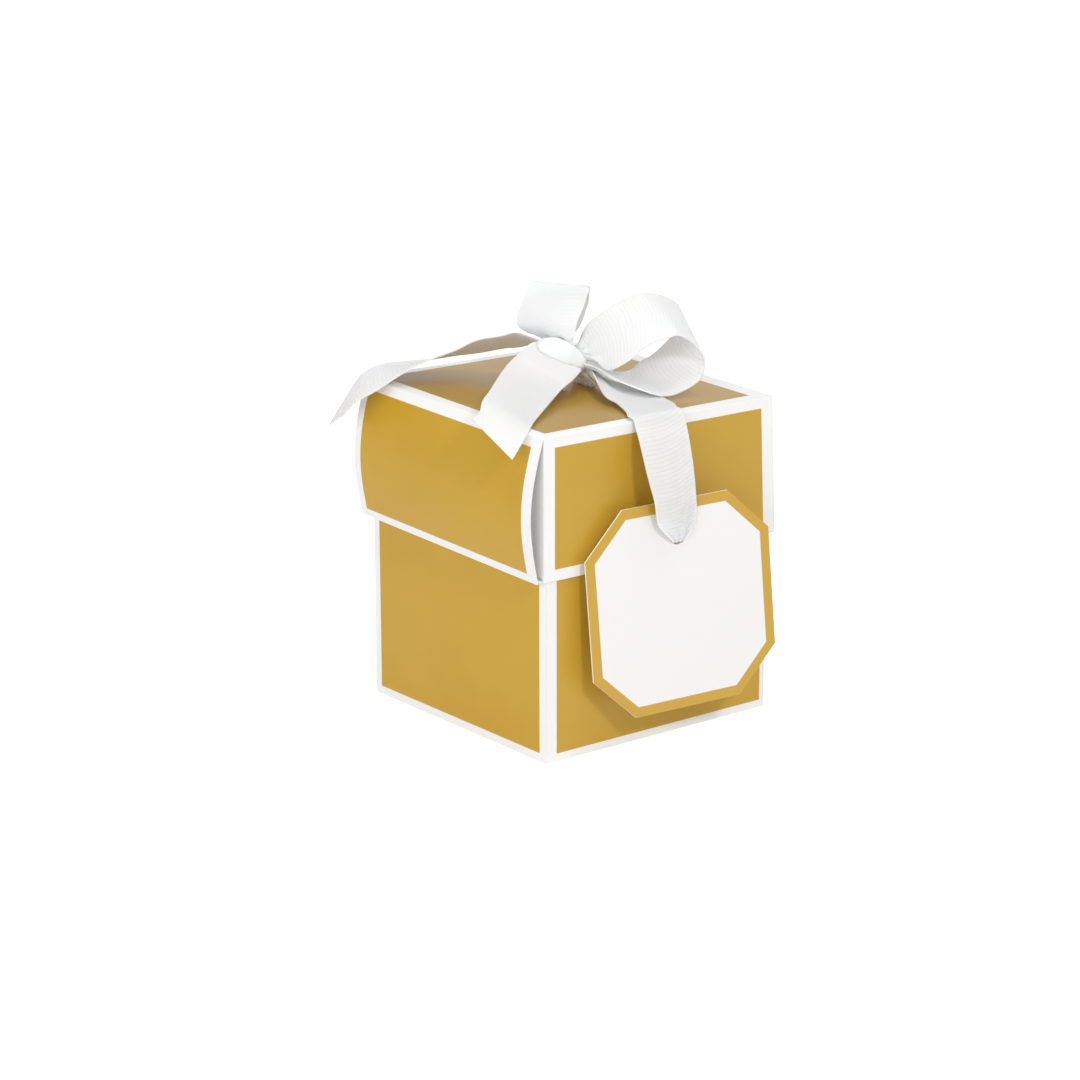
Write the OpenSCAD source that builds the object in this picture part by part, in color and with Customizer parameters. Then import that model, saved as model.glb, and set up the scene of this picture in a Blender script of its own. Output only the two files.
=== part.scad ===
// Two-piece favour box of printed card with a ribbon bow and an eight-sided gift tag.
// Origin: centre of the base's underside. +Z up. The side with the tag faces -Y.

/* [Base] */
// Outside width of the square base
base_w = 57; // [48:1:70]
// Height of the base's walls
base_h = 65.3; // [56:0.1:80]
// Thickness of the card
board = 0.35; // [0.25:0.05:0.5]
// Width of each glued corner tab inside the base
base_tab_w = 14; // [8:0.5:20]
// How far the ends of a base tab taper
base_tab_taper = 4; // [1:0.5:8]

/* [Lid] */
// Depth of the lid's skirts, measured from the top of the base's walls
lid_drop = 28.3; // [18:0.1:36]
// Gap between the base's walls and what slides over them
fit_gap = 0.15; // [0.1:0.05:0.4]
// Bulge of the rolled left skirt at its middle
left_bulge = 2.4; // [0.2:0.1:4]
// How far the left skirt's lower edge stands out
left_splay = 1.3; // [0.2:0.1:2.5]
// How far the flat right skirt's lower edge stands out
right_splay = 1.3; // [0.2:0.1:2.5]
// How much higher the lid's back sits than its front
lid_lean_h = 1.9; // [0:0.1:2.5]
// Width of each corner tab folded in from the front and back skirts
lid_tab_w = 16; // [8:0.5:22]
// How far the ends of a lid tab taper
lid_tab_taper = 5; // [1:0.5:9]

/* [Ribbon] */
// Width of the ribbon
ribbon_w = 12.4; // [9:0.1:14]
// Thickness of the ribbon
ribbon_t = 0.35; // [0.2:0.05:0.45]
// Height of the knot's centre above the lid
knot_rise = 6.5; // [5.5:0.1:9]
// Radius of the knot
knot_r = 3.1; // [2.2:0.1:4]
// Length of the knot
knot_len = 7; // [5:0.1:9]
// Distance from the lid's centre to each slit that the ribbon comes up through
slit_x = 3; // [2:0.1:5]
// Width of each slit
slit_w = 1.2; // [0.9:0.1:2]
// Width to which the ribbon gathers where it goes through a slit
leg_w = 5.2; // [3.5:0.1:8]

/* [Tag] */
// Width and height of the tag
tag_size = 41.8; // [34:0.1:48]
// Length cut off each side of the tag at its corners
tag_corner = 8.93; // [4:0.01:14]
// Thickness of the tag
tag_t = 0.4; // [0.25:0.05:0.6]
// Diameter of the tag's ribbon hole
hole_d = 3.6; // [3.2:0.1:5]
// Distance from the tag's top edge to the centre of its hole
hole_drop = 7.1; // [5:0.1:9]
// Distance from the lid's top down to the tag's top edge
tag_hang = 15.8; // [12:0.1:22]
// Distance from the lid's front to the middle of the tag's top edge
tag_stand_off = 4.85; // [4:0.05:9]
// Radius of the ribbon's stop knot behind the tag
stop_r = 1.6; // [1.2:0.1:1.8]

/* [Hidden] */

$fn = 48;
gold = [0.83, 0.67, 0.31];
card_white = [0.95, 0.95, 0.93];
ribbon_white = [0.97, 0.97, 0.96];

// One overrun serves every cut
overrun = 1;
// Gap that keeps tabs clear of the panels above and below them
tab_gap = 0.3;
// Gap between the knot and each ribbon that goes into it
knot_gap = 0.2;
// Clearance of the lid's slits along the ribbon's width
slit_gap = 0.3;
// Steps along a skirt's curve, and along the knot's crown
skirt_steps = 14;
knot_steps = 12;
// Rings between two stations of a ribbon, and strips across it
ring_steps = 3;
strips = 4;
// Share of a station's step used to find a ribbon's direction there
nudge = 0.02;

// The base: walls stand on the edges of the bottom panel
half_base = base_w / 2;
inner_base = half_base - board;

// The lid: the liner and the front skirt slide over the base's walls
liner_x = half_base + fit_gap;
tab_x = liner_x + board;
skirt_x = tab_x + board;
lid_half_x = skirt_x + board;
skirt_y = half_base + fit_gap;
lid_half_y = skirt_y + board;
// The right skirt starts closer in, right over the base's wall
right_x = skirt_y + board;
lid_top_z = base_h + board;
lid_low_z = base_h - lid_drop;

// The knot lies across the lid, square to its front left corner's diagonal
knot_turn = -38;
knot_place_share = [-0.034, 0, 1];
knot_crown_share = 0.8;
knot_centre = on_lid(knot_place_share);

// The tag hangs in front of the lid, turned and tilted a little
tag_yaw = -9.5;
tag_tilt = -4.24;
tag_roll = 2.4;
tag_side_share = -0.028;
hole_up = tag_size / 2 - hole_drop;

// Tables of stations along each ribbon. A station is its middle on the lid, as shares of the lid's
// half width, half depth and the knot's rise, then the direction across it and its share of width.
loop_right_shares = [
    [[-0.02, -0.02, 1.22], [-0.1, -0.9, -0.2], 0.30],
    [[0.03, -0.12, 1.28], [-0.1, -0.9, -0.3], 0.48],
    [[0.05, -0.24, 1.49], [-0.1, -0.7, -0.7], 0.89],
    [[0.10, -0.37, 1.88], [-0.1, -0.7, -0.7], 1],
    [[0.20, -0.46, 2.33], [-0.1, -0.8, -0.6], 1],
    [[0.31, -0.51, 2.51], [-0.1, -0.8, -0.6], 1],
    [[0.42, -0.54, 2.51], [-0.2, -0.8, -0.5], 1],
    [[0.54, -0.56, 2.16], [-0.3, -0.8, -0.5], 1],
    [[0.59, -0.58, 1.70], [-0.2, -0.8, -0.5], 1],
    [[0.54, -0.58, 1.16], [-0.1, -0.8, -0.6], 1],
    [[0.42, -0.54, 0.69], [-0.2, -0.9, -0.5], 1],
    [[0.33, -0.50, 0.55], [-0.3, -0.9, -0.4], 1],
    [[0.22, -0.45, 0.52], [-0.5, -0.9, -0.1], 1],
    [[0.12, -0.35, 0.62], [-0.5, -0.9, 0], 0.81],
    [[0.07, -0.19, 0.92], [-0.5, -0.9, -0.2], 0.48],
    [[0.00, -0.03, 0.95], [-0.5, -0.9, -0.2], 0.30]
];
loop_back_shares = [
    [[-0.05, 0.00, 1.20], [0.2, -1, 0.1], 0.30],
    [[-0.05, 0.04, 1.54], [0.2, -1, 0.1], 0.55],
    [[-0.11, 0.07, 1.78], [0.4, -0.9, 0], 0.90],
    [[-0.14, 0.07, 2.15], [0.6, -0.8, 0], 1],
    [[-0.08, 0.07, 2.77], [0.8, -0.6, -0.1], 1],
    [[-0.04, 0.07, 3.18], [0.8, -0.6, -0.1], 1],
    [[-0.02, 0.09, 3.30], [0.8, -0.6, -0.1], 1],
    [[0.00, 0.11, 3.17], [0.7, -0.7, -0.1], 1],
    [[0.02, 0.16, 2.62], [0.8, -0.6, -0.1], 1],
    [[-0.02, 0.17, 1.94], [0.6, -0.8, -0.1], 0.89],
    [[0.01, 0.14, 1.55], [0.6, -0.8, 0], 0.34],
    [[0.01, 0.09, 1.28], [0.6, -0.8, 0], 0.30]
];
tail_left_shares = [
    [[-0.05, 0.04, 1.12], [-0.6, -0.7, 0.4], 0.30],
    [[-0.14, 0.16, 1.46], [-0.6, -0.7, 0.4], 0.36],
    [[-0.22, 0.27, 1.52], [-0.6, -0.7, 0.5], 0.81],
    [[-0.29, 0.37, 1.42], [-0.6, -0.7, 0.4], 1],
    [[-0.40, 0.50, 1.25], [-0.6, -0.7, 0.4], 1],
    [[-0.52, 0.61, 1.03], [-0.6, -0.8, 0.3], 1],
    [[-0.68, 0.69, 0.85], [-0.6, -0.8, 0.2], 1],
    [[-0.87, 0.76, 0.65], [-0.6, -0.8, 0], 1],
    [[-1.03, 0.81, 0.41], [-0.6, -0.8, -0.2], 1],
    [[-1.12, 0.88, 0.12], [-0.6, -0.8, -0.2], 1],
    [[-1.19, 0.94, -0.40], [-0.5, -0.9, 0.1], 1],
    [[-1.26, 0.97, -0.89], [-0.3, -0.9, 0.4], 1]
];
tail_front_shares = [
    [[-0.07, 0.01, 1.36], [0.8, -0.6, -0.1], 0.30],
    [[-0.09, -0.04, 1.47], [0.8, -0.6, -0.3], 0.38],
    [[-0.12, -0.10, 1.22], [0.6, -0.5, -0.6], 0.66],
    [[-0.16, -0.07, 1.19], [0.5, -0.8, -0.5], 0.91],
    [[-0.29, -0.12, 1.01], [0.4, -0.9, -0.4], 1],
    [[-0.44, -0.17, 0.76], [0.4, -0.8, -0.3], 1],
    [[-0.83, -0.47, 0.47], [0.2, -0.9, -0.3], 1],
    [[-1.01, -0.63, 0.39], [0.2, -0.9, -0.3], 1],
    [[-1.12, -0.72, 0.18], [0.1, -0.9, -0.3], 1],
    [[-1.22, -0.76, -0.08], [0.1, -0.9, -0.5], 1]
];
tag_ribbon_shares = [
    [[0.03, -0.04, 0.68], [0.8, 0.5, -0.2], 0.30],
    [[0.10, -0.12, 0.64], [0.8, 0.5, -0.2], 0.32],
    [[0.10, -0.17, 0.52], [0.8, 0.5, -0.3], 0.48],
    [[0.09, -0.33, 0.39], [0.9, 0.4, -0.2], 0.85],
    [[0.06, -0.51, 0.26], [1, 0.3, -0.1], 1],
    [[0.07, -0.67, 0.17], [1, 0.1, -0.06], 1],
    [[0.02, -0.85, 0.11], [1, 0, -0.02], 1]
];

// Helpers: vectors, places on the lid and smooth curves through a list of stations
function unit(v) = v / norm(v);
function on_lid(share) =
    [share.x * lid_half_x, share.y * lid_half_y, lid_top_z + share.z * knot_rise];
function clamped(list, i) = list[max(0, min(len(list) - 1, i))];
function curve(a, b, c, d, t) =
    (2 * b + (c - a) * t + (2 * a - 5 * b + 4 * c - d) * t * t + (3 * b - a - 3 * c + d) * t * t * t) / 2;
function along(list, s) =
    let (i = min(floor(s), len(list) - 2), t = s - i)
    curve(clamped(list, i - 1), clamped(list, i), clamped(list, i + 1), clamped(list, i + 2), t);
function from_shares(shares) = [for (s = shares) [on_lid(s[0]), s[1], s[2] * ribbon_w]];

// A ribbon's surface at a station, from one edge (-0.5) to the other (0.5), on its face (-0.5 or 0.5)
function ribbon_point(centres, across, widths, s, side, face) =
    let (before = max(0, s - nudge),
        after = min(len(centres) - 1, s + nudge),
        tangent = along(centres, after) - along(centres, before),
        width_way = unit(along(across, s)),
        normal = unit(cross(tangent, width_way)))
    along(centres, s) + width_way * side * along(widths, s) + normal * face * ribbon_t;

// A closed solid along the stations: rings of points round the ribbon's section, joined by triangles
module ribbon(stations) {
    centres = [for (s = stations) s[0]];
    across = [for (s = stations) s[1]];
    widths = [for (s = stations) s[2]];
    rings = (len(stations) - 1) * ring_steps;
    round = 2 * (strips + 1);
    points = [for (i = [0:rings]) for (k = [0:round - 1])
        let (top = k <= strips, j = top ? k : round - 1 - k)
        ribbon_point(centres, across, widths, i / ring_steps, j / strips - 0.5, top ? 0.5 : -0.5)];
    sides = [for (i = [0:rings - 1]) for (k = [0:round - 1]) for (half = [0, 1])
        let (a = i * round + k, b = i * round + (k + 1) % round, c = b + round, d = a + round)
        half == 0 ? [a, b, c] : [a, c, d]];
    first_cap = [for (j = [0:strips - 1]) for (half = [0, 1])
        let (a = j, b = j + 1, c = round - 2 - j, d = round - 1 - j)
        half == 0 ? [a, c, b] : [a, d, c]];
    last = rings * round;
    last_cap = [for (f = first_cap) [last + f[0], last + f[2], last + f[1]]];
    polyhedron(points, concat(sides, first_cap, last_cap), convexity = 10);
}

// Base

// A box between two opposite corners
module block(low, high) {
    translate(low) cube(high - low);
}

module base_bottom() {
    color(card_white)
        block([-inner_base, -inner_base, 0], [inner_base, inner_base, board]);
}

// A wall that runs the base's full depth, on the side given by the sign
module base_side_wall(sign) {
    color(gold) mirror([sign < 0 ? 1 : 0, 0, 0])
        block([inner_base, -half_base, 0], [half_base, half_base, base_h]);
}

module base_left_wall() { base_side_wall(-1); }
module base_right_wall() { base_side_wall(1); }

// A wall that fits between the side walls
module base_end_wall(sign) {
    color(gold) mirror([0, sign < 0 ? 1 : 0, 0])
        block([-inner_base, inner_base, 0], [inner_base, half_base, base_h]);
}

module base_front_wall() { base_end_wall(-1); }
module base_back_wall() { base_end_wall(1); }

// A tab that lies flat in the plane of a side wall: full height at its fold, tapered at its free end
module folded_tab(fold_y, width, taper, low_z, high_z, inner_x) {
    translate([inner_x, 0, 0]) rotate([90, 0, 90]) linear_extrude(board)
        polygon([[fold_y, low_z], [fold_y - width, low_z + taper],
            [fold_y - width, high_z - taper], [fold_y, high_z]]);
}

module base_tab(x_sign, y_sign) {
    color(card_white)
        mirror([x_sign < 0 ? 1 : 0, 0, 0]) mirror([0, y_sign < 0 ? 1 : 0, 0])
            folded_tab(inner_base, base_tab_w, base_tab_taper, board + tab_gap, base_h - tab_gap,
                inner_base - board);
}

module base_front_left_tab() { base_tab(-1, -1); }
module base_front_right_tab() { base_tab(1, -1); }
module base_back_left_tab() { base_tab(-1, 1); }
module base_back_right_tab() { base_tab(1, 1); }

// Lid

// The lid sits a little askew: everything made of its card rises evenly towards the back
function lean_at(y) = lid_lean_h * (y + lid_half_y) / (2 * lid_half_y);
lean_share = lid_lean_h / (2 * lid_half_y);

module leaned() {
    multmatrix([[1, 0, 0, 0], [0, 1, 0, 0], [0, lean_share, 1, lean_at(0)], [0, 0, 0, 1]]) children();
}

// The top panel, with two slits for the ribbon
module lid_top() {
    slit_half = leg_w / 2 + slit_gap;
    color(gold) leaned() difference() {
        block([-lid_half_x, -lid_half_y, base_h], [right_x, lid_half_y, lid_top_z]);
        for (side = [-1, 1])
            translate([side * slit_x, 0, 0])
                block([-slit_w / 2, -slit_half, base_h - overrun],
                    [slit_w / 2, slit_half, lid_top_z + overrun]);
    }
}

// A flat skirt whose right edge follows the right skirt's slope
module lid_end_skirt(sign) {
    inner_x = right_x - board;
    color(gold) leaned() mirror([0, sign < 0 ? 1 : 0, 0])
        translate([0, lid_half_y, 0]) rotate([90, 0, 0]) linear_extrude(board)
            polygon([[-skirt_x, lid_low_z], [inner_x + right_splay, lid_low_z], [inner_x, base_h],
                [-skirt_x, base_h]]);
}

module lid_front_skirt() { lid_end_skirt(-1); }
module lid_back_skirt() { lid_end_skirt(1); }

// How far a rolled skirt stands out at a share of its drop: a straight splay and a round bulge
function stand_out(drop_share, bulge, splay) = splay * drop_share + bulge * sin(180 * drop_share);

// A rolled skirt: the card curves outwards between its two folds
module lid_left_skirt() {
    outer = [for (i = [0:skirt_steps]) let (s = i / skirt_steps)
        [lid_half_x + stand_out(s, left_bulge, left_splay), base_h - s * lid_drop]];
    inner = [for (i = [skirt_steps:-1:0]) [outer[i].x - board, outer[i].y]];
    color(gold) leaned() mirror([1, 0, 0])
        translate([0, lid_half_y, 0]) rotate([90, 0, 0])
            linear_extrude(2 * lid_half_y) polygon(concat(outer, inner));
}

// The right skirt slopes out flat
module lid_right_skirt() {
    low_x = right_x + right_splay;
    color(gold) leaned()
        translate([0, lid_half_y, 0]) rotate([90, 0, 0]) linear_extrude(2 * lid_half_y)
            polygon([[right_x, base_h], [low_x, lid_low_z], [low_x - board, lid_low_z],
                [right_x - board, base_h]]);
}

// The same card rolled over and back up inside: a rim along the bottom, then the liner
module lid_liner(sign, reach, high_z) {
    length = skirt_y - tab_gap;
    color(card_white) leaned() mirror([sign < 0 ? 1 : 0, 0, 0])
        translate([0, length, 0]) rotate([90, 0, 0]) linear_extrude(2 * length)
            polygon([[liner_x, lid_low_z], [reach, lid_low_z], [reach, lid_low_z + board],
                [tab_x, lid_low_z + board], [tab_x, high_z], [liner_x, high_z]]);
}

// How high a layer inside the right skirt reaches before the sloping skirt meets its outer face
function right_layer_top(outer_x) =
    base_h - tab_gap - lid_drop * (outer_x - (right_x - board)) / right_splay;

module lid_left_liner() { lid_liner(-1, skirt_x + left_splay, base_h - tab_gap); }
module lid_right_liner() { lid_liner(1, right_x - board + right_splay * (1 - board / lid_drop), right_layer_top(tab_x)); }

module lid_tab(x_sign, y_sign) {
    color(card_white) leaned()
        mirror([x_sign < 0 ? 1 : 0, 0, 0]) mirror([0, y_sign < 0 ? 1 : 0, 0])
            folded_tab(skirt_y, lid_tab_w, lid_tab_taper, lid_low_z + board + tab_gap,
                x_sign < 0 ? base_h - tab_gap : right_layer_top(tab_x + board), tab_x);
}

module lid_front_left_tab() { lid_tab(-1, -1); }
module lid_front_right_tab() { lid_tab(1, -1); }
module lid_back_left_tab() { lid_tab(-1, 1); }
module lid_back_right_tab() { lid_tab(1, 1); }

// Bow

// The knot's barrel, grown by a gap where it trims the ribbons that go into it
module knot_barrel(gap) {
    half = knot_len / 2 + gap;
    radius = knot_r + gap;
    end_r = knot_r * knot_crown_share + gap;
    profile = [for (i = [0:knot_steps]) let (s = i / knot_steps)
        [end_r + (radius - end_r) * sin(180 * s), half * (2 * s - 1)]];
    translate(knot_centre) rotate([0, 90, knot_turn])
        rotate_extrude() polygon(concat([[0, half]], [[0, -half]], profile));
}

module bow_knot() {
    color(ribbon_white) knot_barrel(0);
}

// A ribbon that ends a small gap short of the knot
module knotted_ribbon(stations) {
    color(ribbon_white) difference() {
        ribbon(stations);
        knot_barrel(knot_gap);
    }
}

module bow_loop_right() { knotted_ribbon(from_shares(loop_right_shares)); }
module bow_loop_back() { knotted_ribbon(from_shares(loop_back_shares)); }
module bow_tail_left() { knotted_ribbon(from_shares(tail_left_shares)); }
module bow_tail_front() { knotted_ribbon(from_shares(tail_front_shares)); }

// The ribbon comes up through a slit, gathered, and goes into the knot from below
module ribbon_leg(side) {
    rise = lean_at(0);
    way = [0, -1, -lean_share];
    slit_top = lid_top_z + rise + slit_w / 2;
    under_knot = knot_centre.z - knot_r;
    meet_x = knot_centre.x + side * slit_x / 2;
    knotted_ribbon([
        [[side * slit_x, 0, base_h + rise], way, leg_w],
        [[side * slit_x, 0, lid_top_z + rise], way, leg_w],
        [[side * slit_x, 0, slit_top], way, leg_w],
        [[(side * slit_x + meet_x) / 2, 0, (slit_top + under_knot) / 2], way, leg_w],
        [[meet_x, 0, under_knot + ribbon_t], way, leg_w]
    ]);
}

module ribbon_leg_left() { ribbon_leg(-1); }
module ribbon_leg_right() { ribbon_leg(1); }

// The stretch of ribbon under the lid, from one slit to the other
module ribbon_bridge() {
    reach = slit_x + ribbon_t / 2;
    color(ribbon_white) leaned()
        block([-reach, -leg_w / 2, base_h - ribbon_t], [reach, leg_w / 2, base_h]);
}

// Tag

// Where the tag ribbon turns down over the lid's front edge, and the gap left at that turn
turn_gap = 0.3;
turn_lift = 0.4;
// Above the hole the ribbon gathers at these shares, and its neck takes this share of the hole
rise_shares = [0.55, 0.4, 0.1];
neck_share = 0.6;
turn_x = tag_side_share * lid_half_x * 2;
turn_point = [turn_x, -lid_half_y - turn_gap, lid_top_z + turn_lift];

// Places on the hanging tag, from its centre: across it, out of its face and up it
tag_centre = [0, -lid_half_y - tag_stand_off - tag_size / 2 * sin(-tag_tilt),
    lid_top_z - tag_hang - tag_size / 2 * cos(tag_tilt)];
function turned(v, angle) = [v.x * cos(angle) - v.y * sin(angle), v.x * sin(angle) + v.y * cos(angle), v.z];
function tilted(v, angle) = [v.x, v.y * cos(angle) - v.z * sin(angle), v.y * sin(angle) + v.z * cos(angle)];
function rolled(v, angle) = [v.x * cos(angle) + v.z * sin(angle), v.y, -v.x * sin(angle) + v.z * cos(angle)];
function on_tag(v) = tag_centre + turned(tilted(rolled(v, -tag_roll), tag_tilt), tag_yaw);
hole_centre = on_tag([0, 0, hole_up]);

module tag_ribbon_top() {
    end_point = turn_point + [0, turn_gap, 0];
    knotted_ribbon(concat(from_shares(tag_ribbon_shares), [[end_point, [1, 0, 0], ribbon_w]]));
}

// From the lid's edge the ribbon stands off, narrows and goes back through the tag's hole
module tag_ribbon_drop() {
    depth_shares = [0.26, 0.62, 0.95];
    out_shares = [0.55, 0.9, 1.04];
    front = tag_t + ribbon_t;
    clear_shares = [2, 1.6, 1];
    gather_share = 0.5;
    neck_w = hole_d * neck_share;
    start = turn_point + [0, -turn_gap, -turn_gap];
    over_tag = on_tag([0, -clear_shares[0] * front, tag_size / 2]);
    fall = over_tag - start;
    hanging = [for (i = [0:2])
        [start + [fall.x * depth_shares[i], fall.y * out_shares[i], fall.z * depth_shares[i]],
            [1, 0, 0], ribbon_w]];
    color(ribbon_white) difference() {
        ribbon(concat([[start, [1, 0, 0], ribbon_w]], hanging, [
            [on_tag([0, -clear_shares[1] * front, hole_up + hole_drop * rise_shares[0]]), [1, 0, 0],
                ribbon_w * gather_share],
            [on_tag([0, -clear_shares[2] * front, hole_up + hole_d * rise_shares[1]]), [1, 0, 0], neck_w],
            [on_tag([0, -tag_t / 2, hole_up + hole_d * rise_shares[2]]), [1, 0, 0], neck_w],
            [on_tag([0, tag_t + stop_r, hole_up]), [1, 0, 0], neck_w]
        ]));
        stop_ball(knot_gap);
    }
}

// The knot in the ribbon's end keeps it from slipping back out of the hole
module stop_ball(gap) {
    translate(on_tag([0, tag_t / 2 + tab_gap + stop_r, hole_up])) sphere(r = stop_r + gap);
}

module tag_ribbon_knot() {
    color(ribbon_white) stop_ball(0);
}

// The tag's outline: a square with its corners cut
function eight_sides(size, cut) = let (h = size / 2, c = h - cut)
    [[-h, -c], [-c, -h], [c, -h], [h, -c], [h, c], [c, h], [-c, h], [-h, c]];

module gift_tag() {
    color(card_white)
        translate(tag_centre) rotate([0, 0, tag_yaw]) rotate([tag_tilt, 0, 0]) rotate([0, -tag_roll, 0])
            difference() {
                translate([0, tag_t / 2, 0]) rotate([90, 0, 0])
                    linear_extrude(tag_t) polygon(eight_sides(tag_size, tag_corner));
                translate([0, 0, hole_up]) rotate([90, 0, 0])
                    cylinder(d = hole_d, h = tag_t + 2 * overrun, center = true);
            }
}

base_bottom();
base_left_wall();
base_right_wall();
base_front_wall();
base_back_wall();
base_front_left_tab();
base_front_right_tab();
base_back_left_tab();
base_back_right_tab();
lid_top();
lid_front_skirt();
lid_back_skirt();
lid_left_skirt();
lid_right_skirt();
lid_left_liner();
lid_right_liner();
lid_front_left_tab();
lid_front_right_tab();
lid_back_left_tab();
lid_back_right_tab();
bow_knot();
bow_loop_right();
bow_loop_back();
bow_tail_left();
bow_tail_front();
ribbon_leg_left();
ribbon_leg_right();
ribbon_bridge();
tag_ribbon_top();
tag_ribbon_drop();
tag_ribbon_knot();
gift_tag();
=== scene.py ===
# A small card favour box with a ribbon bow and a gift tag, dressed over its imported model.
# Metres. +Z up, the tag's side faces -Y. Sizes that follow the part are read from the frame.
import math

import bmesh
import bpy
import numpy as np
from mathutils import Matrix, Vector


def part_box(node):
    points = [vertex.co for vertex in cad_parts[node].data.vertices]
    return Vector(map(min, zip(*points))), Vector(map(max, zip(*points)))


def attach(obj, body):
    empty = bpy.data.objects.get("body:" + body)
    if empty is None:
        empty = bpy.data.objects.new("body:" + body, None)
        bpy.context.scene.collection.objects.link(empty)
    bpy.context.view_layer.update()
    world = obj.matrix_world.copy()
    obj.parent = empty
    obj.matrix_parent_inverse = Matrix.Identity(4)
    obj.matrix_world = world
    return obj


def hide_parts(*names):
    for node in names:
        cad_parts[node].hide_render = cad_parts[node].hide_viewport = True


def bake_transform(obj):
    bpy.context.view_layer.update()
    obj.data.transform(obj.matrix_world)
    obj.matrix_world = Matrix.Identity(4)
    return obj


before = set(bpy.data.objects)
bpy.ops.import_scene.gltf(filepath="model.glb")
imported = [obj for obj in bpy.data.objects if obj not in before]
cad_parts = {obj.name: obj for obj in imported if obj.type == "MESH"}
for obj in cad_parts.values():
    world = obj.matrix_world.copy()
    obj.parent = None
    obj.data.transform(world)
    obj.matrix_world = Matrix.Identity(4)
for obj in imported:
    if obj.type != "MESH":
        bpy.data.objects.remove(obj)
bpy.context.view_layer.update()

MM = 0.001


# Camera: angle and place fitted to the photograph's corners, on its square frame
CAMERA_AZIMUTH = -38.096
CAMERA_ELEVATION = 15.644
CAMERA_ROLL = -0.095
CAMERA_DISTANCE = 618.56 * MM
CAMERA_TARGET = Vector((-2.788, 6.001, 33.38)) * MM
CAMERA_LENS = 100.31
CAMERA_SENSOR = 36.0
CAMERA_NEAR = 0.01
CAMERA_FAR = 20


def make_camera():
    azimuth = math.radians(CAMERA_AZIMUTH)
    elevation = math.radians(CAMERA_ELEVATION)
    roll = math.radians(CAMERA_ROLL)
    level = math.cos(elevation)
    back = Vector((math.sin(azimuth) * level, -math.cos(azimuth) * level, math.sin(elevation)))
    flat_right = Vector((math.cos(azimuth), math.sin(azimuth), 0))
    flat_up = back.cross(flat_right)
    right = math.cos(roll) * flat_right + math.sin(roll) * flat_up
    up = back.cross(right)
    data = bpy.data.cameras.new("camera")
    data.lens = CAMERA_LENS
    data.sensor_width = CAMERA_SENSOR
    data.sensor_fit = "HORIZONTAL"
    data.clip_start = CAMERA_NEAR
    data.clip_end = CAMERA_FAR
    camera = bpy.data.objects.new("camera", data)
    bpy.context.collection.objects.link(camera)
    turn = Matrix((right, up, back)).transposed().to_4x4()
    camera.matrix_world = Matrix.Translation(CAMERA_TARGET + back * CAMERA_DISTANCE) @ turn
    bpy.context.scene.camera = camera


make_camera()


# Sizes read from the frame
def low(node):
    return Vector(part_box(node)[0])


def high(node):
    return Vector(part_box(node)[1])


BASE_HALF = high("base_left_wall").y
BASE_TOP = high("base_left_wall").z
LID_HALF_X = -low("lid_top").x
LID_RIGHT = high("lid_top").x
RIGHT_SPLAY = high("lid_right_skirt").x - LID_RIGHT
LID_HALF_Y = high("lid_top").y
BOARD = high("base_bottom").z
SKIRT_TOP = BASE_TOP
LID_TOP = SKIRT_TOP + BOARD
LID_LOW = low("lid_left_skirt").z
LID_LEAN = (high("lid_top").z - LID_TOP) / (2 * LID_HALF_Y)
KNOT_CENTRE = (low("bow_knot") + high("bow_knot")) / 2
KNOT_RISE = 6.5 * MM

RIBBON_W = 12.4 * MM
RIBBON_T = 0.30 * MM


# Colours, written as they should render
def linear(red, green, blue):
    def one(c):
        c = c / 255
        return c / 12.92 if c <= 0.04045 else ((c + 0.055) / 1.055) ** 2.4

    return (one(red), one(green), one(blue), 1)


GOLD = linear(203, 160, 30)
GOLD_DEEP = linear(200, 156, 26)
# Front and back walls: a paler copy of the same gold ink than the left and right walls get, painted light
GOLD_LIT_FRONT = linear(204, 163, 56)
GOLD_LIT_FRONT_DEEP = linear(201, 160, 52)
# Lid top: a darker, browner copy of the same gold ink, painted shade
GOLD_SHADED_TOP = linear(177, 139, 47)
GOLD_SHADED_TOP_DEEP = linear(174, 136, 43)
CARD_WHITE = linear(251, 251, 250)
CARD_EDGE = linear(246, 244, 240)
RIBBON_WHITE = linear(244, 246, 248)
# Knot fold: a greyer copy of the ribbon white, painted shade
RIBBON_KNOT_SHADED_WHITE = linear(239, 240, 241)
# Painted shade in the rib grooves
RIBBON_GROOVE_SHADE = linear(230, 231, 232)
RIBBON_SHADED = linear(252, 247, 240)
TAG_GOLD = linear(203, 161, 59)
# Tag's cut edges and back: brighter than its face white, painted highlight
TAG_EDGE_HIGHLIGHT = linear(255, 252, 242)
TAG_WHITE = linear(243, 241, 239)


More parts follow.
